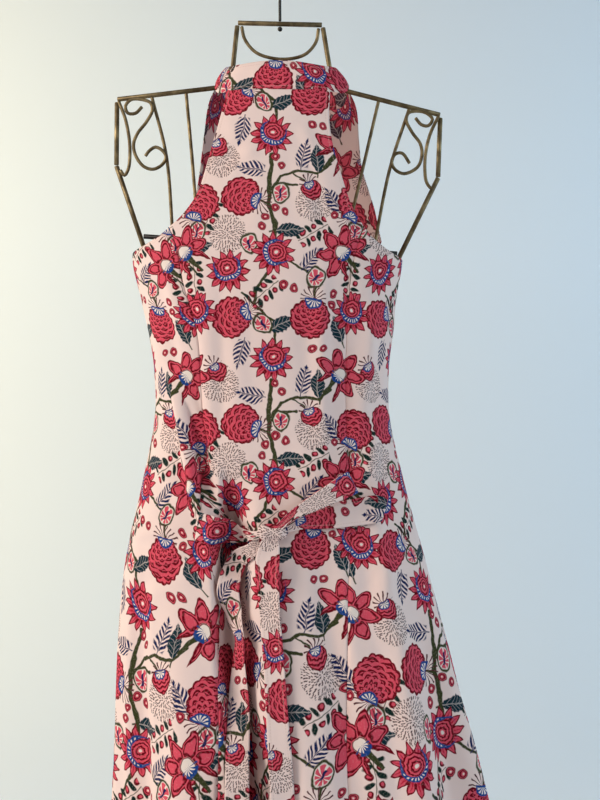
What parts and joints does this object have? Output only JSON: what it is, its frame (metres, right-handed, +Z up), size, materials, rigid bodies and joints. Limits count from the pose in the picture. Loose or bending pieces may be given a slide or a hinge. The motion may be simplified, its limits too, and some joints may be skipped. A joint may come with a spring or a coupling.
{
  "type": "racerback maxi dress on a wire torso hanger",
  "caption": "Sleeveless princess-cut maxi dress with a racerback, stand collar and tied back belt, hung on an open scrollwork wire torso hanger.",
  "frame": {"origin": "inside of the top of the hook's crook, where the rail that holds the hanger lies", "axes": "-Y is the side of the dress's back and its bow, +X to the right of that view, +Z up"},
  "size_m": [0.5438, 0.4135, 1.553],
  "materials": {
    "printed_cotton": "plain-weave cotton with a floral print in crimson, teal, navy and olive on cream",
    "antique_brass": "antiqued, worn satin",
    "black_steel": "satin black"
  },
  "bodies": {
    "root": {"back_centre_panel": "printed_cotton", "back_side_panel_left": "printed_cotton", "back_side_panel_right": "printed_cotton", "front_centre_panel": "printed_cotton", "front_side_panel_left": "printed_cotton", "front_side_panel_right": "printed_cotton", "collar_band": "printed_cotton", "tie_left": "printed_cotton", "tie_right": "printed_cotton", "bow_knot": "printed_cotton", "bow_loop": "printed_cotton", "tail_left": "printed_cotton", "tail_right": "printed_cotton", "neck_top_bar": "antique_brass", "neck_side_left": "antique_brass", "neck_side_right": "antique_brass", "neck_arc": "antique_brass", "shoulder_bar_left": "antique_brass", "shoulder_bar_right": "antique_brass", "side_wire_upper_left": "antique_brass", "side_wire_upper_right": "antique_brass", "side_wire_lower_left": "antique_brass", "side_wire_lower_right": "antique_brass", "rod_outer_left": "antique_brass", "rod_outer_right": "antique_brass", "rod_inner_left": "antique_brass", "rod_inner_right": "antique_brass", "scroll_left": "antique_brass", "scroll_right": "antique_brass", "hairpin_left": "antique_brass", "hairpin_right": "antique_brass", "hook_and_stem": "black_steel", "stem_ball": "black_steel", "chest_bar": "black_steel"}
  },
  "joints": []
}
